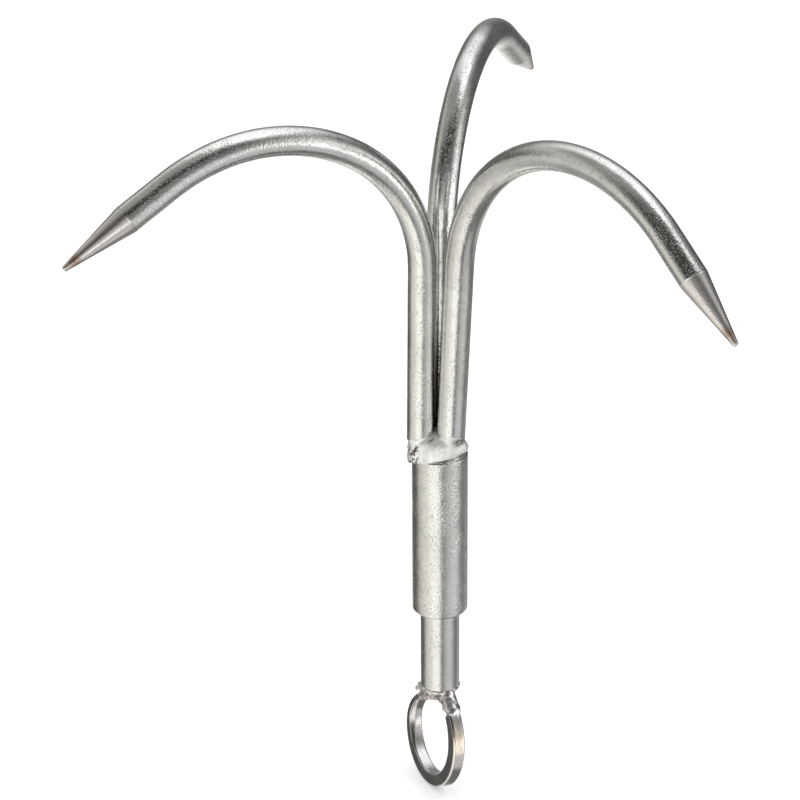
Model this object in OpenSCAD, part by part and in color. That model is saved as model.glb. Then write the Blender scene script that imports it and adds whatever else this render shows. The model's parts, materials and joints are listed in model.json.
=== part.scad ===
// Grapnel anchor: three hooked prongs on a sleeve, with a shank and a welded rope eye below.
// Every length is in millimetres.
// The origin is the centre of the rope eye's hole, and +Z runs along the shank to the prongs.
// A heading is an angle about +Z, counted from +X towards +Y.

/* [Prongs] */
// Diameter of the round bar that the prongs are bent from
rod_d = 8; // [7:0.1:9]
// Diameter that the points are blunted to
point_tip_d = 1.5; // [0.6:0.1:2.4]
// Gap between neighbouring bars where they stand on the sleeve
rod_gap = 0.2; // [0:0.05:0.6]

/* [Left prong] */
// Length of its straight leg, from the sleeve to the bend
left_leg_len = 55.2; // [50:0.1:64]
// Radius of the first stretch of its bend, on the bar's centre line
left_inner_bend_r = 43; // [40:0.1:50]
// Angle turned by the first stretch of its bend
left_inner_bend_angle = 58.3; // [50:0.1:62]
// Radius of the second stretch of its bend, on the bar's centre line
left_outer_bend_r = 50.5; // [40:0.1:56]
// Angle turned by the second stretch of its bend
left_outer_bend_angle = 62.9; // [58:0.1:70]
// Length of the straight stretch between its bend and its point
left_arm_len = 14.2; // [8:0.1:22]
// Length of its turned point
left_point_len = 20.5; // [14:0.1:26]
// Heading of its foot on the sleeve
left_foot_heading = 263; // [260:0.5:266]
// Heading that it hooks towards
left_hook_heading = 271; // [266:0.1:275]
// Outward lean of its leg
left_lean = -0.7; // [-1.2:0.1:3]

/* [Right prong] */
// Length of its straight leg, from the sleeve to the bend
right_leg_len = 58.5; // [50:0.1:64]
// Radius of the first stretch of its bend, on the bar's centre line
right_inner_bend_r = 45.6; // [40:0.1:50]
// Angle turned by the first stretch of its bend
right_inner_bend_angle = 59.4; // [50:0.1:62]
// Radius of the second stretch of its bend, on the bar's centre line
right_outer_bend_r = 46.3; // [40:0.1:56]
// Angle turned by the second stretch of its bend
right_outer_bend_angle = 67.8; // [58:0.1:70]
// Length of the straight stretch between its bend and its point
right_arm_len = 12.7; // [8:0.1:22]
// Length of its turned point
right_point_len = 19.7; // [14:0.1:26]
// Heading of its foot on the sleeve
right_foot_heading = 23; // [20:0.5:26]
// Heading that it hooks towards
right_hook_heading = 16.1; // [11:0.1:24]
// Outward lean of its leg
right_lean = 3.7; // [0:0.1:6]

/* [Back prong] */
// Length of its straight leg, from the sleeve to the bend
back_leg_len = 60.4; // [50:0.1:64]
// Radius of the first stretch of its bend, on the bar's centre line
back_inner_bend_r = 44.4; // [40:0.1:50]
// Angle turned by the first stretch of its bend
back_inner_bend_angle = 56.6; // [50:0.1:62]
// Radius of the second stretch of its bend, on the bar's centre line
back_outer_bend_r = 43.4; // [40:0.1:56]
// Angle turned by the second stretch of its bend
back_outer_bend_angle = 64.1; // [58:0.1:70]
// Length of the straight stretch between its bend and its point
back_arm_len = 19.4; // [8:0.1:22]
// Length of its turned point
back_point_len = 20.7; // [14:0.1:26]
// Heading of its foot on the sleeve
back_foot_heading = 143; // [140:0.5:146]
// Heading that it hooks towards
back_hook_heading = 138.3; // [134:0.1:146]
// Outward lean of its leg
back_lean = 1.1; // [0:0.1:4]

/* [Sleeve and shank] */
// Outside diameter of the sleeve
sleeve_d = 15.8; // [14.6:0.1:18]
// Length of the sleeve
sleeve_len = 50; // [40:0.5:60]
// Chamfer around each end of the sleeve
sleeve_chamfer = 0.6; // [0.2:0.1:1]
// Diameter of the shank
shank_d = 11.2; // [9:0.1:12.4]
// Clear length of shank between its lower end and the sleeve
shank_clear_len = 25.5; // [18:0.1:36]

/* [Rope eye] */
// Diameter of the eye's hole
eye_hole_d = 22.9; // [20:0.1:26]
// Thickness of the eye's band, from the hole to the outside
eye_band_t = 4.2; // [3:0.1:5.5]
// Width of the eye's band, along the hole's axis
eye_band_w = 3.7; // [2.6:0.1:5]
// Angle that the eye leans from the line of the shank
eye_lean = 6.5; // [0:0.5:8]
// Sideways step from the middle of the eye to the shank
eye_side_step = 0.4; // [0:0.1:1]
// Angle from +X at which the band ends on the near side of the shank
eye_near_end = 52; // [48:1:56]
// Angle from +X at which the band ends on the far side of the shank
eye_far_end = 138; // [128:1:140]

/* [Hidden] */
$fn = 96;
steel = "silver";
weld_metal = "gainsboro";
// A hair of clearance between solids that lie against each other.
eps = 0.01;
// How far a cutting solid runs past the solid that it cuts.
cut_past = 1;

// Neighbouring stretches of bar are fused by a thin ring a hair wider than the bar.
seam_len = 0.6;
seam_swell = 0.02;

rod_r = rod_d / 2;
foot_circle_r = (rod_d + rod_gap) / sqrt(3);
sleeve_r = sleeve_d / 2;
shank_r = shank_d / 2;
eye_hole_r = eye_hole_d / 2;
eye_outer_r = eye_hole_r + eye_band_t;
eye_mid_r = eye_hole_r + eye_band_t / 2;

// The shank stops just short of the circle of the band.
shank_end_gap = 0.25;

// The leaning eye puts the shank's line a little to one side of the hole's centre.
shank_x = -eye_side_step;
shank_y = eye_outer_r * sin(eye_lean);
shank_bottom_z = eye_outer_r + shank_end_gap;
sleeve_bottom_z = shank_bottom_z + shank_clear_len;
sleeve_top_z = sleeve_bottom_z + sleeve_len;

// The three feet stand a little off the sleeve's centre.
cluster_step = [-0.4, -0.65];
foot_gap = 0.3;
foot_z = sleeve_top_z + foot_gap;

// The hub weld starts just inside the sleeve's edge and climbs the legs.
hub_weld_r = sleeve_r - 0.25;
hub_weld_h = 6.4;

// The beads at the eye carry the band's circle on from each end and rise to the shank's end.
// They stay clear of the hole, and they meet under the middle of the shank.
bead_r = 2;
bead_root_r = 2.3;
bead_root_inset = 2.6;
bead_root_drop = 0.9;
bead_meet_angle = (eye_near_end + eye_far_end) / 2;
bead_box = 20;
bead_fn = 24;

// A half section turned about the axis makes a straight bar with its end chamfered.
module chamfered_bar(r, len, chamfer) {
    rotate_extrude()
        polygon([
            [0, 0],
            [r - chamfer, 0],
            [r, chamfer],
            [r, len - chamfer],
            [r - chamfer, len],
            [0, len]
        ]);
}

// One stretch of bent bar that starts at the origin along +Z and turns towards +X.
module bent_bar(bend_r, angle) {
    translate([bend_r, 0, 0])
        rotate([90, 0, 0])
            rotate([0, 0, 180 - angle])
                rotate_extrude(angle = angle)
                    translate([bend_r, 0])
                        circle(r = rod_r);
}

// Moves its children to the far end of a bent stretch, and turns them to carry on from it.
module after_bend(bend_r, angle) {
    translate([bend_r * (1 - cos(angle)), 0, bend_r * sin(angle)])
        rotate([0, angle, 0])
            children();
}

// Fuses the stretch of bar that ends at the origin to the one that starts there.
module bar_seam() {
    cylinder(r = rod_r + seam_swell, h = seam_len, center = true);
}

// The straight arm and its turned point, along +Z.
module arm_and_point(arm_len, point_len) {
    bar_seam();
    cylinder(r = rod_r, h = arm_len);
    translate([0, 0, arm_len])
        cylinder(r1 = rod_r, r2 = point_tip_d / 2, h = point_len);
}

// One prong, standing at the origin on +Z and hooking over towards +X.
// Each stretch of its bend is given as [radius, angle].
module prong(leg_len, inner_bend, outer_bend, arm_len, point_len) {
    cylinder(r = rod_r, h = leg_len);
    translate([0, 0, leg_len]) {
        bar_seam();
        bent_bar(inner_bend[0], inner_bend[1]);
        after_bend(inner_bend[0], inner_bend[1]) {
            bar_seam();
            bent_bar(outer_bend[0], outer_bend[1]);
            after_bend(outer_bend[0], outer_bend[1])
                arm_and_point(arm_len, point_len);
        }
    }
}

// Stands a prong on the sleeve.
module place_prong(foot_heading, hook_heading, lean) {
    translate([shank_x + cluster_step[0], shank_y + cluster_step[1], foot_z])
        translate([foot_circle_r * cos(foot_heading), foot_circle_r * sin(foot_heading), 0])
            rotate([0, 0, hook_heading])
                rotate([0, lean, 0])
                    children();
}

module prong_left() {
    color(steel)
        place_prong(left_foot_heading, left_hook_heading, left_lean)
            prong(
                left_leg_len,
                [left_inner_bend_r, left_inner_bend_angle],
                [left_outer_bend_r, left_outer_bend_angle],
                left_arm_len,
                left_point_len
            );
}

module prong_right() {
    color(steel)
        place_prong(right_foot_heading, right_hook_heading, right_lean)
            prong(
                right_leg_len,
                [right_inner_bend_r, right_inner_bend_angle],
                [right_outer_bend_r, right_outer_bend_angle],
                right_arm_len,
                right_point_len
            );
}

module prong_back() {
    color(steel)
        place_prong(back_foot_heading, back_hook_heading, back_lean)
            prong(
                back_leg_len,
                [back_inner_bend_r, back_inner_bend_angle],
                [back_outer_bend_r, back_outer_bend_angle],
                back_arm_len,
                back_point_len
            );
}

// A plain tube that the shank is pressed through.
module sleeve() {
    color(steel)
        translate([shank_x, shank_y, sleeve_bottom_z])
            difference() {
                chamfered_bar(sleeve_r, sleeve_len, sleeve_chamfer);
                translate([0, 0, -cut_past])
                    cylinder(r = shank_r, h = sleeve_len + 2 * cut_past);
            }
}

// A round bar from the eye to the top of the sleeve.
module shank() {
    color(steel)
        translate([shank_x, shank_y, shank_bottom_z])
            chamfered_bar(shank_r - eps, shank_clear_len + sleeve_len, sleeve_chamfer);
}

// A flat band bent round to a hole, open at the top where the shank's end comes in.
module rope_eye() {
    color(steel)
        rotate([90 - eye_lean, 0, 0])
            rotate([0, 0, eye_far_end])
                rotate_extrude(angle = 360 - (eye_far_end - eye_near_end))
                    translate([eye_hole_r, -eye_band_w / 2])
                        square([eye_band_t, eye_band_w]);
}

// The pool of weld that joins the three feet to the top of the sleeve and the shank.
module hub_weld() {
    color(weld_metal)
        difference() {
            translate([shank_x, shank_y, sleeve_top_z])
                rotate_extrude()
                    polygon([
                        [0, 0],
                        [hub_weld_r, 0],
                        [hub_weld_r, 0.1 * hub_weld_h],
                        [hub_weld_r - 0.3, 0.5 * hub_weld_h],
                        [hub_weld_r - 1, 0.85 * hub_weld_h],
                        [hub_weld_r - 2, hub_weld_h],
                        [0, hub_weld_h]
                    ]);
            foot_socket(left_foot_heading, left_hook_heading, left_lean);
            foot_socket(right_foot_heading, right_hook_heading, right_lean);
            foot_socket(back_foot_heading, back_hook_heading, back_lean);
        }
}

// The room that one leg takes up in the hub weld.
module foot_socket(foot_heading, hook_heading, lean) {
    place_prong(foot_heading, hook_heading, lean)
        translate([0, 0, -eps])
            cylinder(r = rod_r + eps, h = 2 * hub_weld_h);
}

// A ball of weld metal on the middle of the band's circle.
module band_ball(angle) {
    rotate([90 - eye_lean, 0, 0])
        rotate([0, 0, angle])
            translate([eye_mid_r, 0, 0])
                sphere(r = bead_r, $fn = bead_fn);
}

// A ball of weld metal at the root of the bead, against one side of the shank's end.
module root_ball(shank_side) {
    translate([shank_x + shank_side * (shank_r - bead_root_inset), shank_y, shank_bottom_z - bead_root_drop])
        sphere(r = bead_root_r, $fn = bead_fn);
}

// A bead of weld from one end of the band to the middle of the shank's end.
module eye_bead(end_angle, shank_side) {
    half_angle = (end_angle + bead_meet_angle) / 2;
    difference() {
        union() {
            hull() {
                band_ball(end_angle);
                band_ball(half_angle);
                root_ball(shank_side);
            }
            hull() {
                band_ball(half_angle);
                band_ball(bead_meet_angle);
                root_ball(shank_side);
            }
        }
        weld_neighbours();
        translate([shank_x - shank_side * (bead_box / 2 - eps), 0, eye_mid_r])
            cube(bead_box, center = true);
    }
}

module eye_weld_near() {
    color(weld_metal)
        eye_bead(eye_near_end, 1);
}

module eye_weld_far() {
    color(weld_metal)
        eye_bead(eye_far_end, -1);
}

// The solids that a weld bead at the eye lies against.
module weld_neighbours() {
    rope_eye();
    shank();
}

prong_left();
prong_right();
prong_back();
sleeve();
shank();
rope_eye();
hub_weld();
eye_weld_near();
eye_weld_far();
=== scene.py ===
import json
import math

import bmesh
import bpy
import numpy as np
from mathutils import Matrix, Vector


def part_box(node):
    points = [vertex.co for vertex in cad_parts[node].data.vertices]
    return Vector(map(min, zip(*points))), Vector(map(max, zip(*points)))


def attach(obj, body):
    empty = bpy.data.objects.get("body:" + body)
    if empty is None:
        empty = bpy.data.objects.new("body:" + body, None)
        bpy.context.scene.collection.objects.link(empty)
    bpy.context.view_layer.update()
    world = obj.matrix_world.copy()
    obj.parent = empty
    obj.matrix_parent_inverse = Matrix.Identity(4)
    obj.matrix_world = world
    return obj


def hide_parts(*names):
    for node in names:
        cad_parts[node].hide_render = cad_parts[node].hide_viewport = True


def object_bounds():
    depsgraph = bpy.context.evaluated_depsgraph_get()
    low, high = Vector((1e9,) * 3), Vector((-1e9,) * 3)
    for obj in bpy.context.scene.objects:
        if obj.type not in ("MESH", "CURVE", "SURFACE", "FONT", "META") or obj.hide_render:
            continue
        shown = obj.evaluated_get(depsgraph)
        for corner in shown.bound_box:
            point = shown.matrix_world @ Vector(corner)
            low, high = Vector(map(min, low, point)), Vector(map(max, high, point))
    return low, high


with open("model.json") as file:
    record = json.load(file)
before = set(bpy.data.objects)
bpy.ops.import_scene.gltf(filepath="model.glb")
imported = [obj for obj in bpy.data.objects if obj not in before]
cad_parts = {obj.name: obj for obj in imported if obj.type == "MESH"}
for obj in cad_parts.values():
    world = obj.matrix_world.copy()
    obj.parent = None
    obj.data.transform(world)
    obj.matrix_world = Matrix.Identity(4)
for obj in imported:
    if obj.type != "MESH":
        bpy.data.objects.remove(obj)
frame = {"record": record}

# The looks of a grapnel anchor: bent bars with turned points, a sleeve, a shank, a rope eye and
# the weld metal between them, in polished stainless steel. Lengths are in metres.

CAD_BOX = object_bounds()
MM = 0.001

# The bar that the prongs are bent from.
ROD_R = 4 * MM
ROD_GAP = 0.2 * MM
FOOT_GAP = 0.3 * MM
TIP_R = 0.75 * MM
CLUSTER_STEP = Vector((-0.4 * MM, -0.65 * MM))

# Each prong was bent by hand: lengths in millimetres and angles in degrees, the same values as in
# the part's source. They came from a least-squares fit to the outline. One is a little duller
# past a line across its leg.
PRONGS = {
    "prong_left": {
        "leg": 55.2, "inner_bend": (43.0, 58.3), "outer_bend": (50.5, 62.9), "arm": 14.2, "point": 20.5,
        "foot_heading": 263.0, "hook_heading": 271.0, "lean": -0.7,
    },
    "prong_right": {
        "leg": 58.5, "inner_bend": (45.6, 59.4), "outer_bend": (46.3, 67.8), "arm": 12.7, "point": 19.7,
        "foot_heading": 23.0, "hook_heading": 16.1, "lean": 3.7, "dull_from": 52.5,
    },
    "prong_back": {
        "leg": 60.4, "inner_bend": (44.4, 56.6), "outer_bend": (43.4, 64.1), "arm": 19.4, "point": 20.7,
        "foot_heading": 143.0, "hook_heading": 138.3, "lean": 1.1,
    },
}

# The rope eye.
EYE_HOLE_R = frame["record"]["mounts"][0]["dims"]["r_mm"] * MM
EYE_BAND_T = 4.2 * MM
EYE_BAND_W = 3.7 * MM
EYE_LEAN = math.radians(6.5)
EYE_NEAR_END = math.radians(52)
EYE_FAR_END = math.radians(138)
EYE_MID_R = EYE_HOLE_R + EYE_BAND_T / 2

# The camera: where it looks from, and the point that it looks at. A least-squares fit to the
# outline found these values.
CAMERA_HEADING = math.radians(-25.29)
CAMERA_ELEVATION = math.radians(25.57)
CAMERA_ROLL = math.radians(-0.43)
CAMERA_DISTANCE = 0.8997
CAMERA_LENS = 138.58
CAMERA_AIM = Vector((-42.9 * MM, 9.7 * MM, 87.2 * MM))

# Where the straight parts are, from the frame.
SHANK_LOW, SHANK_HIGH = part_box("shank")
SLEEVE_LOW, SLEEVE_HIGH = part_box("sleeve")
AXIS = Vector(((SHANK_LOW.x + SHANK_HIGH.x) / 2, (SHANK_LOW.y + SHANK_HIGH.y) / 2))
SHANK_R = (SHANK_HIGH.x - SHANK_LOW.x) / 2
SLEEVE_R = (SLEEVE_HIGH.x - SLEEVE_LOW.x) / 2
FOOT_Z = SLEEVE_HIGH.z + FOOT_GAP

UP = Vector((0, 0, 1))

random = np.random.default_rng(20)


# ---------------------------------------------------------------- meshes

def ripple(points, wavelength, count=14):
    """A smooth random height of about -1 to 1 at each point: a sum of waves in random directions."""
    total = np.zeros(points.shape[:-1])
    for _ in range(count):
        direction = random.normal(size=3)
        direction *= 2 * math.pi / (wavelength * np.linalg.norm(direction)) * random.uniform(0.6, 1.5)
        total += np.sin(points @ direction + random.uniform(0, 2 * math.pi))
    return total / math.sqrt(count)


def skin(name, grid, bar_grid, wrap_rows=False, slot_of_row=None, marks=None):
    """A closed mesh over a grid of points. Columns always wrap. Rows wrap, or end in flat caps.
    bar_grid holds each point's place on the bar before it was bent, for the materials, and
    marks holds how strongly each point takes its material's mark colour: heat tint and sooty
    patches on some parts, painted shade and a painted highlight on others."""
    rows, columns, _ = grid.shape
    if marks is None:
        marks = np.zeros((rows, columns))
    marks = np.broadcast_to(marks, (rows, columns))
    point_marks = list(marks.ravel())
    points = [tuple(p) for p in grid.reshape(-1, 3)]
    bar_points = [tuple(p) for p in bar_grid.reshape(-1, 3)]
    faces = []
    face_slots = []
    last_row = rows if wrap_rows else rows - 1
    for i in range(last_row):
        a = i * columns
        b = ((i + 1) % rows) * columns
        slot = slot_of_row(i) if slot_of_row else 0
        for j in range(columns):
            k = (j + 1) % columns
            faces.append((a + j, a + k, b + k, b + j))
            face_slots.append(slot)
    if not wrap_rows:
        for row, order in ((0, -1), (rows - 1, 1)):
            centre = len(points)
            points.append(tuple(grid[row].mean(axis=0)))
            bar_points.append(tuple(bar_grid[row].mean(axis=0)))
            point_marks.append(marks[row].mean())
            start = row * columns
            slot = slot_of_row(min(row, rows - 2)) if slot_of_row else 0
            for j in range(columns):
                pair = (start + j, start + (j + 1) % columns)
                faces.append((centre,) + pair[::order])
                face_slots.append(slot)
    mesh = bpy.data.meshes.new(name)
    mesh.from_pydata(points, [], faces)
    mesh.polygons.foreach_set("material_index", face_slots)
    mesh.polygons.foreach_set("use_smooth", [True] * len(faces))
    set_places(mesh, np.array(bar_points), np.array(point_marks))
    outward(mesh)
    obj = bpy.data.objects.new(name, mesh)
    bpy.context.scene.collection.objects.link(obj)
    return obj


def outward(mesh):
    """Points every face of a closed mesh outwards."""
    work = bmesh.new()
    work.from_mesh(mesh)
    bmesh.ops.recalc_face_normals(work, faces=work.faces)
    work.to_mesh(mesh)
    work.free()


def set_places(mesh, bar_points, marks):
    """Stores what the materials read at each point: its place on the bar, and its mark: heat tint
    and sooty patches on some parts, painted shade and a painted highlight on others.
    """
    attribute = mesh.attributes.new("bar_point", "FLOAT_VECTOR", "POINT")
    attribute.data.foreach_set("vector", bar_points.astype(np.float32).ravel())
    attribute = mesh.attributes.new("mark", "FLOAT", "POINT")
    attribute.data.foreach_set("value", marks.astype(np.float32).ravel())


def rounded(corners, radius, steps=6):
    """The outline through the corners, each rounded off with an arc of about the given radius."""
    outline = []
    count = len(corners)
    for i in range(count):
        corner = np.array(corners[i], float)
        before = np.array(corners[i - 1], float) - corner
        after = np.array(corners[(i + 1) % count], float) - corner
        reach = min(radius, 0.45 * np.linalg.norm(before), 0.45 * np.linalg.norm(after))
        start = corner + before / np.linalg.norm(before) * reach
        end = corner + after / np.linalg.norm(after) * reach
        for step in range(steps + 1):
            t = step / steps
            outline.append((1 - t) ** 2 * start + 2 * t * (1 - t) * corner + t ** 2 * end)
    return np.array(outline)


def densify(outline, spacing):
    """The same closed outline with no gap longer than the spacing."""
    dense = []
    for i in range(len(outline)):
        here = outline[i]
        there = outline[(i + 1) % len(outline)]
        pieces = max(1, int(np.linalg.norm(there - here) / spacing))
        for piece in range(pieces):
            dense.append(here + (there - here) * piece / pieces)
    return np.array(dense)


# ---------------------------------------------------------------- prongs

BAR_SIDES = 96
BAR_SPACING = 0.45 * MM
FOOT_CIRCLE_R = (2 * ROD_R + ROD_GAP) / math.sqrt(3)

# Rings left on the points by the turning tool, and the small radius of the blunt tip.
RING_SPACING = 0.075 * MM
TURNING_PITCH = 0.58 * MM
TURNING_DEPTH = 0.019 * MM
TIP_ROUND = 0.3 * MM

# The bar's foot is melted away a little inside the weld.
MELT_H = 4.4 * MM
MELT_DEPTH = 0.7 * MM

# Each leg's foot and direction, kept for the weld that joins them.
LEG_LINES = {}


def bar_stretch(length, bend_r, along, place, angle):
    """One straight or bent stretch of a bar's centre line, and where and at what angle it ends."""
    count = int(length / BAR_SPACING)
    steps = np.linspace(0, length, count, endpoint=False)
    if bend_r is None:
        heading = np.full(count, angle)
        out = place[0] + np.sin(angle) * steps
        up = place[1] + np.cos(angle) * steps
        place = place + length * np.array((math.sin(angle), math.cos(angle)))
    else:
        heading = angle + steps / bend_r
        out = place[0] + bend_r * (np.cos(angle) - np.cos(heading))
        up = place[1] + bend_r * (np.sin(heading) - np.sin(angle))
        end = angle + length / bend_r
        place = place + bend_r * np.array(
            (math.cos(angle) - math.cos(end), math.sin(end) - math.sin(angle))
        )
        angle = end
    rows = np.stack([along + steps, out, up, heading, np.full(count, ROD_R)], axis=1)
    return rows, place, angle


def turned_point(length, along, place, angle):
    """The tapered point: a small turned shoulder, fine rings and a blunt, rounded-over tip."""
    rings = np.arange(0.2 * MM, length - TIP_ROUND, RING_SPACING)
    steps = np.concatenate([[0, 0.04 * MM, 0.1 * MM], rings])
    radius = ROD_R + (TIP_R - ROD_R) * steps / length
    turned = (steps > 0.5 * MM) * (steps < length - 1.2 * MM)
    radius = radius - turned * TURNING_DEPTH * (1 - np.abs(np.sin(math.pi * steps / TURNING_PITCH)))
    radius[1:3] -= np.array((0.03, 0.045)) * MM
    tip_turns = np.linspace(0.1, 0.48, 6) * math.pi
    tip_steps = length - TIP_ROUND + TIP_ROUND * np.sin(tip_turns)
    tip_radius = TIP_R - TIP_ROUND + TIP_ROUND * np.cos(tip_turns)
    steps = np.concatenate([steps, tip_steps])
    radius = np.concatenate([radius, tip_radius])
    out = place[0] + math.sin(angle) * steps
    up = place[1] + math.cos(angle) * steps
    return np.stack([along + steps, out, up, np.full(len(steps), angle), radius], axis=1)


def prong_line(shape):
    """The prong's centre line in its own plane: distance along, outward, up, direction, radius."""
    inner_r, inner_angle = shape["inner_bend"][0] * MM, math.radians(shape["inner_bend"][1])
    outer_r, outer_angle = shape["outer_bend"][0] * MM, math.radians(shape["outer_bend"][1])
    sections = []
    along = 0.0
    place = np.zeros(2)
    angle = 0.0
    for length, bend_r in (
        (shape["leg"] * MM, None),
        (inner_r * inner_angle, inner_r),
        (outer_r * outer_angle, outer_r),
        (shape["arm"] * MM, None),
    ):
        rows, place, angle = bar_stretch(length, bend_r, along, place, angle)
        sections.append(rows)
        along += length
    sections.append(turned_point(shape["point"] * MM, along, place, angle))
    return np.concatenate(sections), along


def prong_marks(shape, along, turn):
    """How dark the bar is: heat tint near the tip, painted shade between the legs, and one dull stretch.
    """
    to_tip = along[-1] - along[:, None]
    heat = np.exp(-(((to_tip - 3.4 * MM) / (1.7 * MM)) ** 2))
    # Painted shade: low on each leg, the side facing the other legs is darkened where the legs shade each
    # other.
    facing = np.clip((-np.cos(turn)[None] - 0.48) / 0.2, 0, 1)
    beside = np.clip((0.7 * shape["leg"] * MM - along[:, None]) / (18 * MM), 0, 1)
    dull = np.zeros_like(heat)
    if "dull_from" in shape:
        past = along[:, None] - shape["dull_from"] * MM
        dull = 0.14 * np.clip(past / (0.4 * MM), 0, 1) * np.clip(1.4 - past / (30 * MM), 0, 1)
    return np.maximum(np.maximum(heat, facing * beside), dull)


def prong_foot(shape):
    """Where the bar's centre line starts, on the sleeve."""
    foot_turn = math.radians(shape["foot_heading"])
    return Vector(
        (
            AXIS.x + CLUSTER_STEP.x + FOOT_CIRCLE_R * math.cos(foot_turn),
            AXIS.y + CLUSTER_STEP.y + FOOT_CIRCLE_R * math.sin(foot_turn),
            FOOT_Z,
        )
    )


def prong(name, shape):
    """A bent bar with a turned point, standing on the sleeve."""
    line, point_start = prong_line(shape)
    along, out, up, heading, radius = line.T
    turn = np.linspace(0, 2 * math.pi, BAR_SIDES, endpoint=False)
    bar_grid = np.stack(
        [
            ROD_R * np.cos(turn)[None] * np.ones_like(along)[:, None],
            ROD_R * np.sin(turn)[None] * np.ones_like(along)[:, None],
            np.repeat(along[:, None], BAR_SIDES, axis=1),
        ],
        axis=2,
    )
    # Shifted, so that no two prongs get the same pattern of pits.
    bar_grid[..., 2] += 3.1 * shape["foot_heading"] * MM
    on_bar = (along < point_start)[:, None]
    bent = np.clip((along - shape["leg"] * MM) / (8 * MM), 0, 1)
    bent = bent * np.clip((point_start - along) / (8 * MM), 0, 1)
    height = 0.010 * MM * ripple(bar_grid, 7 * MM) + 0.0025 * MM * ripple(bar_grid, 2.2 * MM)
    oval = -0.005 * np.cos(2 * turn)[None] * bent[:, None]
    melted = MELT_DEPTH * np.clip((MELT_H - along) / (0.7 * MM), 0, 1)[:, None]
    r = radius[:, None] * (1 + oval) + height * (0.25 + 0.75 * on_bar) - melted
    side = r * np.sin(turn)[None]
    over = r * np.cos(turn)[None]
    local = np.stack(
        [
            out[:, None] + over * np.cos(heading)[:, None],
            side,
            up[:, None] - over * np.sin(heading)[:, None],
        ],
        axis=2,
    )
    foot = prong_foot(shape)
    hook_turn = Matrix.Rotation(math.radians(shape["hook_heading"]), 3, "Z")
    spin = hook_turn @ Matrix.Rotation(math.radians(shape["lean"]), 3, "Y")
    LEG_LINES[name] = (foot, spin @ UP)
    return skin(
        name + "_bar", local @ np.array(spin).T + np.array(foot), bar_grid,
        slot_of_row=lambda row: int(along[row] >= point_start),
        marks=prong_marks(shape, along, turn),
    )


# ---------------------------------------------------------------- straight round parts

def lathe(name, outline, centre, sides=128, wobble=0.006 * MM):
    """A closed outline of (radius, height) pairs, turned about a vertical axis through the centre."""
    turn = np.linspace(0, 2 * math.pi, sides, endpoint=False)
    radius, height = outline.T
    bar_grid = np.stack(
        [
            radius[:, None] * np.cos(turn)[None],
            radius[:, None] * np.sin(turn)[None],
            np.repeat(height[:, None], sides, axis=1),
        ],
        axis=2,
    )
    swell = wobble * ripple(bar_grid, 9 * MM) + 0.35 * wobble * ripple(bar_grid, 2.5 * MM)
    scale = 1 + swell / np.maximum(radius[:, None], MM)
    grid = bar_grid * np.stack([scale, scale, np.ones_like(scale)], axis=2)
    grid = grid + np.array((centre.x, centre.y, 0.0))
    return skin(name, grid, bar_grid, wrap_rows=True)


def sleeve_tube():
    """The sleeve, with both rims chamfered and the shank's hole through it."""
    bottom, top = SLEEVE_LOW.z, SLEEVE_HIGH.z
    chamfer = 0.6 * MM
    bore = SHANK_R + 0.06 * MM
    outline = rounded(
        [
            (bore, bottom),
            (SLEEVE_R - chamfer, bottom),
            (SLEEVE_R, bottom + chamfer),
            (SLEEVE_R, top - chamfer),
            (SLEEVE_R - chamfer, top),
            (bore, top),
        ],
        0.16 * MM,
    )
    return lathe("sleeve_tube", densify(outline, 0.7 * MM), AXIS)


def shank_bar():
    """The shank, from its lower end up through the sleeve."""
    bottom, top = SHANK_LOW.z, SHANK_HIGH.z
    chamfer = 0.6 * MM
    core = 0.02 * MM
    outline = rounded(
        [
            (core, bottom),
            (SHANK_R - chamfer, bottom),
            (SHANK_R, bottom + chamfer),
            (SHANK_R, top - chamfer),
            (SHANK_R - chamfer, top),
            (core, top),
        ],
        0.25 * MM,
    )
    return lathe("shank_bar", densify(outline, 0.7 * MM), AXIS)


# ---------------------------------------------------------------- rope eye

def eye_point(angle, radius, across):
    """A point of the leaning eye: angle about its hole, radius, and place along the hole's axis."""
    flat = np.stack(
        [
            radius * np.cos(angle),
            across * np.ones_like(angle * radius),
            radius * np.sin(angle),
        ],
        axis=-1,
    )
    lean = np.array(Matrix.Rotation(-EYE_LEAN, 3, "X"))
    return flat @ lean.T


BAND_CHAMFER = 0.42 * MM

# The band's radii in millimetres by the angle about its hole in degrees. It was bent by hand and its
# far end was hammered in towards the shank, so that end is thinner and runs inside the circle.
# A separate program worked these radii out from points on the ring's outline.
BAND_OUTER_R = (
    (138, 12.5), (150, 13.1), (157, 13.7), (163, 14.3), (170, 14.85), (178, 15.2), (190, 15.45),
    (205, 15.65), (412, 15.65),
)
BAND_INNER_R = (
    (138, 10.6), (150, 11.1), (157, 11.6), (165, 12.15), (175, 12.4), (190, 12.25), (210, 11.9),
    (280, 11.8), (300, 11.6), (325, 11.45), (392, 11.45), (404, 12.0), (412, 12.6),
)


def band_section():
    """The band's cut outline, through its thickness and its width, with small broken edges."""
    half_t = EYE_BAND_T / 2
    half_w = EYE_BAND_W / 2
    edge_t = half_t - BAND_CHAMFER
    edge_w = half_w - BAND_CHAMFER
    corners = [
        (-half_t, -edge_w), (-edge_t, -half_w), (edge_t, -half_w), (half_t, -edge_w),
        (half_t, edge_w), (edge_t, half_w), (-edge_t, half_w), (-half_t, edge_w),
    ]
    return densify(rounded(corners, 0.14 * MM, steps=4), 0.3 * MM)


def band_radius(turned, table):
    """A radius table read at each angle in degrees, with its corners smoothed."""
    radius = np.interp(turned, *zip(*table)) * MM
    return np.convolve(np.pad(radius, 12, mode="edge"), np.ones(25) / 25, mode="valid")


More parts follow.
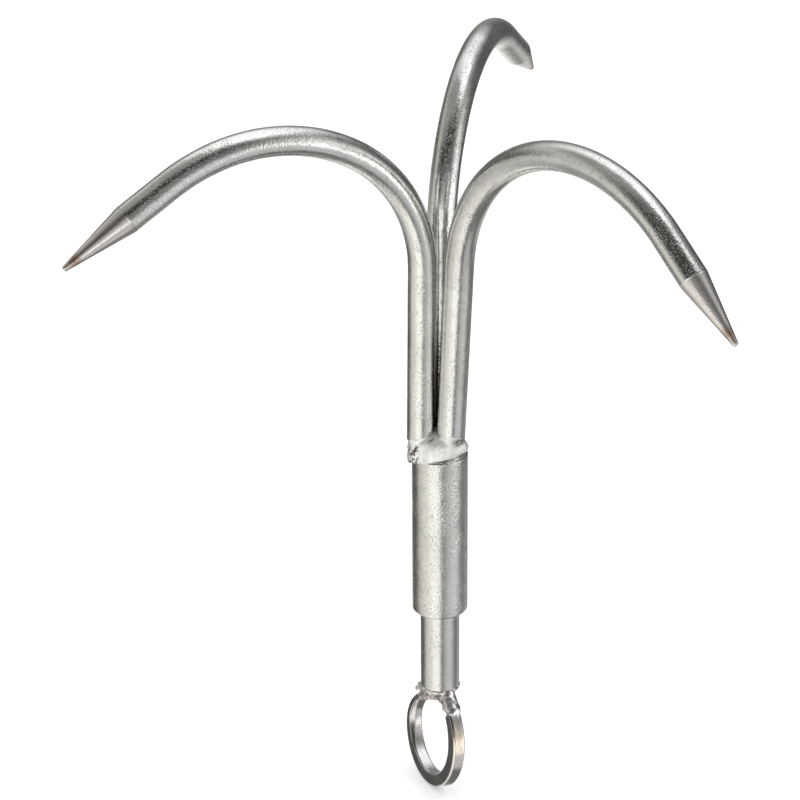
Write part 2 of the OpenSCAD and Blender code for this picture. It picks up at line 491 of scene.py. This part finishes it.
def eye_band():
    """A flat band bent into an open ring, with its front inner edge worn back on one side."""
    section = band_section()
    start, end = EYE_FAR_END, 2 * math.pi + EYE_NEAR_END
    angles = np.linspace(start, end, int((end - start) * EYE_MID_R / (0.45 * MM)))
    ends = np.minimum(angles - start, end - angles) * EYE_MID_R
    close = 1 - 0.10 * np.exp(-ends / (0.25 * MM))
    turned = np.degrees(angles)
    inner = band_radius(turned, BAND_INNER_R)
    outer = band_radius(turned, BAND_OUTER_R)
    bar_grid = np.stack(
        [
            section[:, 0][None] * (close * (outer - inner) / EYE_BAND_T)[:, None],
            section[:, 1][None] * close[:, None],
            np.repeat((angles * EYE_MID_R)[:, None], len(section), axis=1),
        ],
        axis=2,
    )
    push = 0.014 * MM * ripple(bar_grid, 6 * MM) + 0.005 * MM * ripple(bar_grid, 1.8 * MM)
    away = section / np.linalg.norm(section, axis=1)[:, None]
    worn = BAND_CHAMFER + 0.95 * MM * np.exp(-(((turned - 180) / 26) ** 2))
    corner = (section[:, 0] + EYE_BAND_T / 2)[None] + (section[:, 1] + EYE_BAND_W / 2)[None]
    bevel = np.maximum(worn[:, None] - corner, 0) / 2
    radius = ((inner + outer) / 2)[:, None] + bar_grid[..., 0] + push * away[:, 0][None] + bevel
    across = bar_grid[..., 1] + push * away[:, 1][None] + bevel
    grid = eye_point(np.repeat(angles[:, None], len(section), axis=1), radius, across)
    # A painted highlight with heat tint: round this angle the band's outside takes the eye's pale warm
    # mark colour, brighter than the bare band.
    glint = np.exp(-(((turned - 360 - 17) / 17) ** 2))
    outside = np.clip(section[:, 0] / (EYE_BAND_T / 2), 0, 1) ** 3
    return skin("rope_eye_band", grid, bar_grid, marks=glint[:, None] * outside[None])


# ---------------------------------------------------------------- weld metal

# How finely the eye's beads are fused, and how many times they are then smoothed.
MELT_VOXEL = 0.14 * MM
MELT_ROUNDING = 40


def ball(work, centre, radius):
    """Adds a ball to the heap."""
    bmesh.ops.create_icosphere(
        work, subdivisions=3, radius=radius, matrix=Matrix.Translation(Vector(centre))
    )


def drum(work, low, high, low_r, high_r):
    """Adds a tapered drum between two points to the heap."""
    low, high = Vector(low), Vector(high)
    direction = high - low
    turn = direction.to_track_quat("Z", "Y").to_matrix().to_4x4()
    bmesh.ops.create_cone(
        work, cap_ends=True, segments=48, radius1=low_r, radius2=high_r,
        depth=direction.length, matrix=Matrix.Translation((low + high) / 2) @ turn,
    )


def melt(name, work):
    """Fuses a heap of closed shapes into one rounded skin, and heaves it along its normals."""
    heap = bpy.data.meshes.new(name + "_heap")
    work.to_mesh(heap)
    work.free()
    obj = bpy.data.objects.new(name + "_heap", heap)
    bpy.context.scene.collection.objects.link(obj)
    remesh = obj.modifiers.new("fuse", "REMESH")
    remesh.mode = "VOXEL"
    remesh.voxel_size = MELT_VOXEL
    smooth = obj.modifiers.new("round", "SMOOTH")
    smooth.factor = 0.5
    smooth.iterations = MELT_ROUNDING
    bpy.context.view_layer.update()
    graph = bpy.context.evaluated_depsgraph_get()
    mesh = bpy.data.meshes.new_from_object(obj.evaluated_get(graph))
    bpy.data.objects.remove(obj)
    points = read_points(mesh, "co")
    normals = read_points(mesh, "normal")
    moved = points + normals * eye_push(points)[:, None]
    mesh.vertices.foreach_set("co", moved.ravel())
    mesh.polygons.foreach_set("use_smooth", [True] * len(mesh.polygons))
    mesh.update()
    mesh.name = name
    set_places(mesh, moved, eye_soot(points))
    piece = bpy.data.objects.new(name, mesh)
    bpy.context.scene.collection.objects.link(piece)
    return piece


def read_points(mesh, field):
    """The mesh's vertex positions or normals, as rows of three."""
    values = np.empty(len(mesh.vertices) * 3)
    mesh.vertices.foreach_get(field, values)
    return values.reshape(-1, 3)


def level_direction(side):
    """A level direction: towards the camera, turned by side degrees to the camera's right."""
    turn = CAMERA_HEADING + math.radians(side)
    return Vector((math.cos(turn), math.sin(turn), 0))


def hub_place(side, reach, height):
    """A place by the hub: degrees round from the camera, out from the axis, above the sleeve."""
    rim_centre = Vector((AXIS.x, AXIS.y, SLEEVE_HIGH.z))
    return rim_centre + level_direction(side) * reach * MM + UP * height * MM


# The hub weld's outline, by the side in degrees counted from the camera to its right: how high
# above the sleeve's rim its lower and upper edges run, and how far it stands out of the bars.
HUB_SIDES = (-180, -150, -120, -90, -75, -60, -45, -30, -10, 10, 25, 45, 60, 75, 90, 120, 150, 180)
HUB_LOW = (
    -0.6, -1.0, -3.0, -3.5, -2.8, -1.8, -1.2, -0.8, 0.1, 0.4, 1.2, 1.7, 1.8, 0.8, -0.3, -0.5, -0.5, -0.6,
)
HUB_HIGH = (4.5, 4.2, 4.2, 4.9, 5.8, 6.5, 6.6, 6.6, 6.9, 7.9, 7.9, 7.3, 5.0, 1.8, 0.4, 0.9, 3.4, 4.5)
HUB_PROUD = (
    0.1, 0.1, -0.35, -0.5, -0.15, 0.08, 0.12, 0.12, 0.12, 0.12, 0.2, 0.24, 0.16, 0.0, 0.0, 0.05, 0.1, 0.1,
)
HUB_GROOVE_R = 6.5 * MM
HUB_FILL_R = 8.0 * MM
HUB_FILL_H = 7.7 * MM


def by_side(side, values):
    """The value of an outline table at each side, softened."""
    total = 0
    for shift in (-6, 0, 6):
        total = total + np.interp((side + shift + 180) % 360 - 180, HUB_SIDES, values)
    return total / 3


def smooth_min(a, b, blend):
    share = np.clip(0.5 + 0.5 * (b - a) / blend, 0, 1)
    return b * (1 - share) + a * share - blend * share * (1 - share)


def hub_distance(points, side):
    """How far each point is outside the weld metal that fills in round the prongs' feet."""
    height = points[..., 2] - SLEEVE_HIGH.z
    flat = np.linalg.norm(points[..., :2] - np.array(AXIS), axis=-1)
    dome = HUB_FILL_R * np.sqrt(np.clip(1 - (height / HUB_FILL_H).clip(0, 1) ** 5, 0.01, 1))
    total = flat - dome
    wave = 0.35 * np.sin(np.radians(side * 7)) + 0.15 * np.sin(np.radians(side * 17 + 40))
    past = height - (by_side(side, HUB_HIGH) + wave) * MM
    fade = np.clip(1 + past / (1.2 * MM), 0, 1.6) ** 2
    swell = by_side(side, HUB_PROUD) * MM - 0.22 * MM * fade
    blend = 1.5 * MM * np.clip(-past / (3 * MM), 0.12, 1)
    for foot, direction in LEG_LINES.values():
        offset = points - np.array(foot)
        along = offset @ np.array(direction)
        away = np.linalg.norm(offset - along[..., None] * np.array(direction), axis=-1)
        total = smooth_min(total, away - ROD_R - swell, blend)
    return total


def hub_points(ray, reach, height):
    """Points round the hub's axis, by their reach out along each ray and height above the rim."""
    flat = np.array(AXIS) + ray * reach[..., None]
    return np.concatenate([flat, (SLEEVE_HIGH.z + height)[..., None]], axis=-1)


def hub_surface(ray, height, side):
    """How far out each ray leaves the weld metal, found by stepping in from outside."""
    reach = np.full(height.shape, 12 * MM)
    for _ in range(60):
        reach = reach - hub_distance(hub_points(ray, reach, height), side)
    return reach


def hub_gauss(side, height, at_side, half_side, at_height, half_height):
    """A soft spot on the hub, by degrees round it and by height above the rim."""
    across = (side - at_side) / half_side
    return np.exp(-(across ** 2) - ((height - at_height) / half_height) ** 2)


def hub_calm(points):
    """The slight heave of the smooth part of the pool, with its swirl lines and one small lump."""
    calm = 0.07 * MM * ripple(points, 3.4 * MM) + 0.010 * MM * ripple(points, MM)
    swirl = np.linalg.norm(points - np.array(hub_place(14, 6, 2.2)), axis=-1) / (0.95 * MM)
    lump = np.linalg.norm(points - np.array(hub_place(54, 7.6, 3.1)), axis=-1) / (1.9 * MM)
    return calm + 0.016 * MM * np.sin(2 * math.pi * swirl) + 0.75 * MM * np.exp(-(lump ** 2))


def hub_weld_pool():
    """The pool of weld at the prongs' feet. It runs down over the sleeve's rim on one side, draws
    back from the rim on the other, fills in between the bars and climbs a little way up them."""
    side = np.arange(-180, 180, 0.9)
    low = by_side(side, HUB_LOW) * MM
    low = low + 0.12 * MM * np.sin(np.radians(side * 9)) * np.clip((-side - 40) / 30, 0, 1)
    start = np.minimum(low, 0) - 0.35 * MM
    stop = by_side(side, HUB_HIGH) * MM + 1.1 * MM
    rows = np.linspace(0, 1, 78)[:, None]
    height = start[None] + rows * (stop - start)[None]
    heading = CAMERA_HEADING + np.radians(side)
    ray = np.stack([np.cos(heading), np.sin(heading)], axis=-1)[None]
    reach = hub_surface(ray, height, side[None])
    root = np.where(low < 0, SLEEVE_R - 0.2 * MM, HUB_GROOVE_R)
    root = np.convolve(np.pad(root, 10, mode="wrap"), np.ones(21) / 21, mode="valid")[None]
    edge = np.clip((height - low[None]) / (0.55 * MM), 0, 1)
    over = 0.20 * MM * by_side(side, np.clip(-np.array(HUB_LOW), 0, 1))[None]
    reach = np.maximum(reach, (SLEEVE_R + over) * (height < 0.4 * MM))
    reach = root + (reach - root) * np.sqrt(1 - (1 - edge) ** 2)
    points = hub_points(ray, reach, height)
    ragged = hub_ragged(side[None], height)
    rough = 0.6 * ripple(points, 1.3 * MM) + 0.4 * ripple(points, 0.7 * MM)
    reach = reach + (hub_calm(points) + ragged * 0.5 * MM * np.minimum(rough, 0.1)) * edge
    close = np.clip((stop[None] - height) / (0.3 * MM), 0, 1)
    reach = MM + (reach - MM) * np.sqrt(close)
    points = hub_points(ray, reach, height)
    # Painted shade: on the right, the weld's lower edge, where it draws back from the rim into a recess,
    # is darkened as that recess's shadow.
    painted_groove_shade = np.clip(1 - edge * 3, 0, 1) * np.clip((side[None] + 25) / 20, 0, 1)
    # Sooty hollows on the ragged patch, with painted shade on the spot between the front bars and in the
    # recess.
    soot_and_painted_shade = np.maximum(ragged * np.clip(0.70 - 2.6 * rough, 0, 1), 0.9 * painted_groove_shade)
    dull = hub_gauss(side[None], height, 40, 15, 6.0 * MM, 1.2 * MM)
    soot_and_painted_shade = np.maximum(soot_and_painted_shade, np.minimum(1.3 * dull, 0.95))
    return skin("hub_weld_pool", points, points, marks=soot_and_painted_shade)


def hub_ragged(side, height):
    """One on the ragged patch at the camera's left of the hub weld and on a small spot between
    the front bars, and zero elsewhere. The pool is darkened by it: in the patch's hollows, and
    on the spot between the front bars as painted shade."""
    across = np.clip((46 - np.abs(side + 88)) / 10, 0, 1)
    patch = across * np.clip((4.6 * MM - height) / MM, 0, 1)
    return np.maximum(patch, hub_gauss(side, height, -24, 7, 6.3 * MM, 0.6 * MM))


# The beads at the eye, as lumps in a run: angle about the hole in degrees, radius from its centre,
# place along its axis and size in millimetres. The last one stands against the shank's end.
FAR_LUMPS = (
    (143, 12.1, 0.0, 1.5), (135, 11.9, -0.2, 1.85), (126, 11.7, -0.5, 1.95), (116, 11.9, -0.6, 2.0),
    (106, 12.2, -0.6, 2.0), (96, 12.6, -0.4, 2.1),
)
FAR_FILLS = (
    (128, 13.6, 0.3, 1.7), (118, 14.2, 0.4, 2.0), (106, 14.6, 0.4, 2.2), (98, 15.0, 0.3, 2.4),
    (141, 14.4, 0.2, 1.1), (146, 15.2, 0.1, 0.95), (150, 15.6, -0.2, 0.8), (143, 15.9, 0.2, 0.8),
)
NEAR_LUMPS = (
    (90, 13.4, -0.3, 2.1), (79, 14.2, -0.1, 2.35), (67, 14.9, 0.1, 2.35), (55, 14.5, 0.2, 2.25),
    (48, 14.2, 0.4, 1.8),
)
NEAR_FILLS = (
    (84, 15.3, 0.2, 2.3), (76, 16.0, 0.4, 1.9), (70, 15.9, 0.5, 1.6), (62, 15.5, 0.6, 1.6),
    (51, 15.2, 1.0, 1.1), (50, 15.2, -0.8, 1.1), (60, 13.9, -1.4, 1.0),
)


def eye_weld(name, lumps, fills, sides):
    """The bead from one end of the eye's band to the shank's end, and on round the shank's edge."""
    work = bmesh.new()
    run = [lump_place(lump) for lump in lumps]
    for i, (place, size) in enumerate(run):
        ball(work, place, size)
        if i:
            drum(work, run[i - 1][0], place, run[i - 1][1], size)
    for fill in fills:
        place, size = lump_place(fill)
        ball(work, place, size)
    for side in sides:
        reach = (SHANK_R - 0.55 * MM) / MM
        place = Vector((AXIS.x, AXIS.y, SHANK_LOW.z + 0.1 * MM)) + level_direction(side) * reach * MM
        ball(work, place, random.uniform(0.75, 1.0) * MM)
    root = Vector((AXIS.x, AXIS.y, SHANK_LOW.z - 0.2 * MM))
    ball(work, root + level_direction(sum(sides) / len(sides)) * 2 * MM, 2.9 * MM)
    return melt(name, work)


def lump_place(lump):
    """Where a lump of the eye's beads is, and its radius."""
    angle, radius, across, size = lump
    place = eye_point(np.array(math.radians(angle)), np.array(radius * MM), across * MM)
    return Vector(place), size * MM


def eye_push(points):
    """How far the bead's skin heaves in or out at each point."""
    return 0.09 * MM * ripple(points, 2.8 * MM)


def eye_soot(points):
    """How dark the bead is at each point, in a few soft patches."""
    return np.clip(-0.1 + 0.5 * ripple(points, 2.1 * MM), 0, 0.7)


# ---------------------------------------------------------------- materials

# Grains to a metre of the steel's broad patches, its clusters of pits, its soft unevenness, the
# pits themselves and the drawn lines.
PATCH_SCALE = 90.0
CLUSTER_SCALE = 170.0
UNEVEN_SCALE = 2000.0
PIT_SCALE = 3000.0
LINE_SCALE = 5200.0
PIT_COLOUR = (0.16, 0.15, 0.14, 1)


def add(tree, kind, settings=None, **inputs):
    """Adds a node. Settings are its properties; inputs are sockets or values, by name or number."""
    made = tree.nodes.new(kind)
    for key, value in (settings or {}).items():
        setattr(made, key, value)
    for key, value in inputs.items():
        socket = made.inputs[int(key[1:])] if key[0] == "_" else made.inputs[key.replace("_", " ")]
        if isinstance(value, bpy.types.NodeSocket):
            tree.links.new(value, socket)
        else:
            socket.default_value = value
    return made


def maths(tree, operation, a, b=0.0):
    """A sum of one or two values."""
    return add(tree, "ShaderNodeMath", {"operation": operation}, _0=a, _1=b).outputs[0]


def noise(tree, vector, scale, detail=2.0, roughness=0.5):
    """Soft random values from 0 to 1. Scale is how many grains there are to a metre."""
    made = add(
        tree, "ShaderNodeTexNoise", Vector=vector, Scale=scale, Detail=detail, Roughness=roughness
    )
    return made.outputs["Fac"]


def ramp(tree, value, low, high, to_low=0.0, to_high=1.0):
    """A soft step between two values, as its input goes from low to high."""
    return add(
        tree, "ShaderNodeMapRange", {"interpolation_type": "SMOOTHSTEP", "clamp": True},
        _0=value, _1=low, _2=high, _3=to_low, _4=to_high,
    ).outputs[0]


def mix_colour(tree, amount, a, b):
    """Colour a where the amount is zero, colour b where it is one."""
    return add(tree, "ShaderNodeMix", {"data_type": "RGBA"}, _0=amount, _6=a, _7=b).outputs[2]


def steel_relief(tree, uneven, clusters, lines, pitted, peel, streak, pits):
    """The normal of the steel's unevenness, drawn lines and pits, whose depths are in metres."""
    height = maths(tree, "MULTIPLY", maths(tree, "MULTIPLY", uneven, clusters), peel)
    height = maths(tree, "ADD", height, maths(tree, "MULTIPLY", lines, streak))
    height = maths(tree, "SUBTRACT", height, maths(tree, "MULTIPLY", pitted, pits))
    return add(tree, "ShaderNodeBump", Strength=1.0, Distance=1.0, Height=height).outputs[0]


def steel(name, colour, shade, rough, peel, pits, streak, mark_colour, mark_rough=0.0, bare=1.0):
    """Stainless steel. Peel, pits and streak are the depths, in metres, of its soft unevenness,
    its small pits and the fine lines drawn along the bar. Mark colour is laid on where the mesh's
    mark is: heat tint and sooty patches on some parts, painted shade and a painted highlight on
    others. Bare is how much of it mirrors, the rest being a thin pale skin."""
    material = bpy.data.materials.new(name)
    material.use_nodes = True
    tree = material.node_tree
    tree.nodes.clear()
    place = add(tree, "ShaderNodeAttribute", {"attribute_name": "bar_point"}).outputs["Vector"]
    mark = add(tree, "ShaderNodeAttribute", {"attribute_name": "mark"}).outputs["Fac"]
    stretched = add(
        tree, "ShaderNodeVectorMath", {"operation": "MULTIPLY"}, _0=place, _1=(1.0, 1.0, 0.05)
    ).outputs[0]
    patches = noise(tree, place, PATCH_SCALE, 4.0, 0.6)
    clusters = ramp(tree, noise(tree, place, CLUSTER_SCALE), 0.40, 0.62, 0.45, 1.0)
    uneven = noise(tree, place, UNEVEN_SCALE, 1.5)
    grain = noise(tree, place, PIT_SCALE, 1.5)
    lines = noise(tree, stretched, LINE_SCALE, 3.0, 0.6)
    pitted = maths(tree, "MULTIPLY", ramp(tree, grain, 0.60, 0.72), clusters)
    normal = steel_relief(tree, uneven, clusters, lines, pitted, peel, streak, pits)
    roughness = ramp(tree, patches, 0.3, 0.7, rough * 0.75, rough * 1.3)
    for value, amount in ((pitted, 0.12), (ramp(tree, lines, 0.5, 0.8), 0.05), (mark, mark_rough)):
        roughness = maths(tree, "ADD", roughness, maths(tree, "MULTIPLY", value, amount))
    tone = mix_colour(tree, ramp(tree, patches, 0.35, 0.7), (*colour, 1), (*shade, 1))
    tone = mix_colour(tree, maths(tree, "MULTIPLY", pitted, 0.6), tone, PIT_COLOUR)
    mottled = maths(tree, "MULTIPLY", mark, ramp(tree, uneven, 0.3, 0.6, 0.55, 1.0))
    tone = mix_colour(tree, mottled, tone, (*mark_colour, 1))
    shader = add(
        tree, "ShaderNodeBsdfPrincipled",
        Base_Color=tone, Metallic=bare, Roughness=roughness, Normal=normal,
    )
    output = add(tree, "ShaderNodeOutputMaterial")
    tree.links.new(shader.outputs[0], output.inputs[0])
    return material


MATERIALS = {
    # On the bars of both prong steels, the dark mark colour is painted shade between the legs, and it
    # darkens the one dull stretch.
    "prong": steel(
        "prong_steel", (0.82, 0.82, 0.81), (0.74, 0.74, 0.725), 0.052,
        peel=0.08 * MM, pits=0.05 * MM, streak=0.0020 * MM, mark_colour=(0.13, 0.11, 0.09),
    ),
    "pitted prong": steel(
        "pitted_prong_steel", (0.84, 0.84, 0.83), (0.68, 0.68, 0.67), 0.05,
        peel=0.075 * MM, pits=0.17 * MM, streak=0.0020 * MM, mark_colour=(0.13, 0.11, 0.09),
    ),
    "point": steel(
        "point_steel", (0.96, 0.925, 0.915), (0.88, 0.845, 0.835), 0.23,
        peel=0.05 * MM, pits=0.010 * MM, streak=0.0004 * MM, mark_colour=(0.52, 0.36, 0.25),
    ),
    "sleeve": steel(
        "sleeve_steel", (0.82, 0.82, 0.81), (0.74, 0.74, 0.725), 0.085,
        peel=0.115 * MM, pits=0.06 * MM, streak=0.0020 * MM, mark_colour=(0.6, 0.45, 0.3),
    ),
    "shank": steel(
        "shank_steel", (0.81, 0.81, 0.80), (0.74, 0.74, 0.725), 0.085,
        peel=0.06 * MM, pits=0.03 * MM, streak=0.0020 * MM, mark_colour=(0.6, 0.45, 0.3),
    ),
    # The eye's pale warm mark colour is heat tint and a painted highlight on the band's outside.
    "eye": steel(
        "eye_steel", (0.77, 0.755, 0.755), (0.67, 0.65, 0.655), 0.06,
        peel=0.045 * MM, pits=0.015 * MM, streak=0.0012 * MM, mark_colour=(1.0, 0.84, 0.68),
        mark_rough=0.12,
    ),
    # The pool's near-black mark colour gives sooty hollows on the ragged patch, painted shade in the
    # recess under its right edge and on the spot between the front bars, and a darker patch by the right
    # prong.
    "pool": steel(
        "pool_steel", (0.97, 0.965, 0.955), (0.88, 0.875, 0.865), 0.30,
        peel=0.06 * MM, pits=0.02 * MM, streak=0.0, mark_colour=(0.06, 0.05, 0.045), bare=0.62,
    ),
    "bead": steel(
        "bead_steel", (0.93, 0.91, 0.91), (0.80, 0.77, 0.78), 0.22,
        peel=0.04 * MM, pits=0.010 * MM, streak=0.0, mark_colour=(0.34, 0.30, 0.30), bare=0.95,
    ),
}


# ---------------------------------------------------------------- studio

# What the steel mirrors, painted in this order over a plain grey: each panel's heading from the
# camera's side, its elevation, its half width and half height, how softly its sides and its
# top and bottom fade, all in degrees, how bright it is and how warm. These numbers were not
# chosen by hand: a separate least-squares program fitted them to the brightness of the steel.
# The room light falls on what isn't shiny, and the camera sees the backdrop past the floor.
ROOM_LIGHT = 1.13
BACKDROP_LIGHT = 1.0
FLOOR_GLOW = 0.18
STUDIO_GREY = 0.32
STUDIO_PANELS = (
    ("left wall", -110, 6, 36, 21, 32, 38, 0.78, 0.08),
    ("low front", 46, -9, 89, 9, 51, 11, 1.26, 0.03),
    ("floor glow, left", -134, -75, 45, 21, 34, 8, 0.89, 0.07),
    ("floor shade, right", 83, -58, 83, 27, 16, 36, 0.18, 0.04),
    ("low shade, back left", -128, -27, 27, 7, 14, 9, 0.10, 0.05),
    ("corner glow, back left", 158, -32, 40, 11, 30, 23, 1.07, 0.04),
    ("low panel, front left", -54, -40, 36, 34, 60, 14, 0.87, 0.10),
    ("its bright core", -22, -24, 23, 33, 24, 39, 1.19, 0.07),
    ("low panel, front right", 52, -26, 25, 29, 34, 12, 0.59, 0.0),
    ("shade, back left", -134, 4, 37, 15, 40, 26, 0.13, 0.06),
    ("shade, back right", 136, 13, 34, 48, 35, 36, 0.10, 0.0),
    ("strip light, right", 73, 4, 16, 22, 29, 40, 1.14, 0.02),
    ("its lower end", 66, -8, 16, 13, 10, 15, 1.55, 0.02),
    ("dark camera side", 2, 50, 55, 17, 60, 32, 0.04, 0.06),
    ("its lower left end", -45, 26, 28, 17, 49, 16, 0.06, 0.06),
    ("its lower right end", 31, 30, 12, 15, 21, 6, 0.14, 0.0),
    ("top light, back right", 131, 75, 68, 21, 56, 36, 1.75, 0.0),
    ("top light, back left", -185, 66, 46, 32, 55, 40, 1.28, 0.0),
    ("top light, middle", 58, 87, 60, 6, 110, 6, 0.95, 0.0),
)


def tinted(bright, warmth):
    """A light of the given brightness, with less blue and a little less green in it the warmer it is."""
    return (bright, bright * (1 - 0.22 * warmth), bright * (1 - warmth), 1)


def panel_mask(tree, direction, heading, elevation, half_w, half_h, fade_w, fade_h):
    """One where a direction points into the panel, zero outside, with soft edges."""
    turned = add(
        tree, "ShaderNodeVectorRotate", {"rotation_type": "Z_AXIS"},
        Vector=direction, Angle=-(CAMERA_HEADING + math.radians(heading)),
    ).outputs[0]
    parts = add(tree, "ShaderNodeSeparateXYZ", _0=turned)
    sideways = maths(tree, "ABSOLUTE", maths(tree, "ARCTAN2", parts.outputs[1], parts.outputs[0]))
    height = maths(tree, "ARCSINE", parts.outputs[2])
    off = maths(tree, "ABSOLUTE", maths(tree, "SUBTRACT", height, math.radians(elevation)))
    across = ramp(
        tree, sideways, math.radians(half_w + fade_w / 2), math.radians(half_w - fade_w / 2)
    )
    upright = ramp(tree, off, math.radians(half_h + fade_h / 2), math.radians(half_h - fade_h / 2))
    return maths(tree, "MULTIPLY", across, upright)


def studio():
    """A plain pale room to the eye and to the floor, with soft panels for the steel to mirror."""
    world = bpy.data.worlds.new("studio")
    bpy.context.scene.world = world
    world.use_nodes = True
    tree = world.node_tree
    tree.nodes.clear()
    direction = add(tree, "ShaderNodeTexCoord").outputs["Generated"]
    light = tinted(STUDIO_GREY, 0.05)
    for _, heading, elevation, half_w, half_h, fade_w, fade_h, bright, warmth in STUDIO_PANELS:
        mask = panel_mask(tree, direction, heading, elevation, half_w, half_h, fade_w, fade_h)
        light = mix_colour(tree, mask, light, tinted(bright, warmth))
    path = add(tree, "ShaderNodeLightPath")
    light = mix_colour(tree, path.outputs["Is Diffuse Ray"], light, tinted(ROOM_LIGHT, 0.0))
    light = mix_colour(tree, path.outputs["Is Camera Ray"], light, tinted(BACKDROP_LIGHT, 0.0))
    background = add(tree, "ShaderNodeBackground", Color=light, Strength=1.0)
    output = add(tree, "ShaderNodeOutputWorld")
    tree.links.new(background.outputs[0], output.inputs[0])


def floor():
    """A plain pale floor just under the eye."""
    size = 12.0
    mesh = bpy.data.meshes.new("studio_floor")
    level = CAD_BOX[0][2] - 0.2 * MM
    half = size / 2
    mesh.from_pydata(
        [(-half, -half, level), (half, -half, level), (half, half, level), (-half, half, level)],
        [], [(0, 1, 2, 3)],
    )
    obj = bpy.data.objects.new("studio_floor", mesh)
    bpy.context.scene.collection.objects.link(obj)
    material = bpy.data.materials.new("floor_paint")
    material.use_nodes = True
    tree = material.node_tree
    shader = tree.nodes["Principled BSDF"]
    position = add(tree, "ShaderNodeNewGeometry").outputs["Position"]
    mottle = noise(tree, position, 30.0, 3.0)
    tone = mix_colour(tree, mottle, (0.93, 0.93, 0.925, 1), (0.95, 0.95, 0.945, 1))
    tree.links.new(tone, shader.inputs["Base Color"])
    shader.inputs["Roughness"].default_value = 0.9
    shader.inputs["Specular IOR Level"].default_value = 0.0
    shader.inputs["Emission Color"].default_value = (1, 1, 1, 1)
    shader.inputs["Emission Strength"].default_value = FLOOR_GLOW
    mesh.materials.append(material)
    obj.visible_glossy = False


def camera():
    """The camera, at the set heading, height, tilt and distance from its aim."""
    back = Vector(
        (
            math.cos(CAMERA_ELEVATION) * math.cos(CAMERA_HEADING),
            math.cos(CAMERA_ELEVATION) * math.sin(CAMERA_HEADING),
            math.sin(CAMERA_ELEVATION),
        )
    )
    level = Vector((-math.sin(CAMERA_HEADING), math.cos(CAMERA_HEADING), 0))
    upright = back.cross(level)
    right = level * math.cos(CAMERA_ROLL) + upright * math.sin(CAMERA_ROLL)
    up = back.cross(right)
    data = bpy.data.cameras.new("camera")
    data.lens = CAMERA_LENS
    data.sensor_width = 36.0
    data.clip_start = 0.01
    data.clip_end = 50.0
    obj = bpy.data.objects.new("camera", data)
    bpy.context.scene.collection.objects.link(obj)
    turn = Matrix((right, up, back)).transposed().to_4x4()
    obj.matrix_world = Matrix.Translation(CAMERA_AIM + back * CAMERA_DISTANCE) @ turn
    bpy.context.scene.camera = obj


# ---------------------------------------------------------------- assembly

def finish_piece(obj, node, slot, *materials):
    """Gives a piece its materials and its place in the part."""
    for material in materials:
        obj.data.materials.append(MATERIALS[material])
    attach(obj, "root")
    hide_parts(node)


for node_name, prong_shape in PRONGS.items():
    bar_steel = "pitted prong" if node_name == "prong_back" else "prong"
    finish_piece(prong(node_name, prong_shape), node_name, "prong_steel", bar_steel, "point")
finish_piece(sleeve_tube(), "sleeve", "sleeve_steel", "sleeve")
finish_piece(shank_bar(), "shank", "shank_steel", "shank")
finish_piece(eye_band(), "rope_eye", "eye_steel", "eye")
finish_piece(hub_weld_pool(), "hub_weld", "weld_steel", "pool")
finish_piece(
    eye_weld("eye_weld_near_bead", NEAR_LUMPS, NEAR_FILLS, range(8, 120, 13)),
    "eye_weld_near", "weld_steel", "bead",
)
finish_piece(
    eye_weld("eye_weld_far_bead", FAR_LUMPS, FAR_FILLS, range(-125, 8, 13)),
    "eye_weld_far", "weld_steel", "bead",
)

studio()
floor()
camera()
bpy.context.scene.view_settings.view_transform = "Standard"
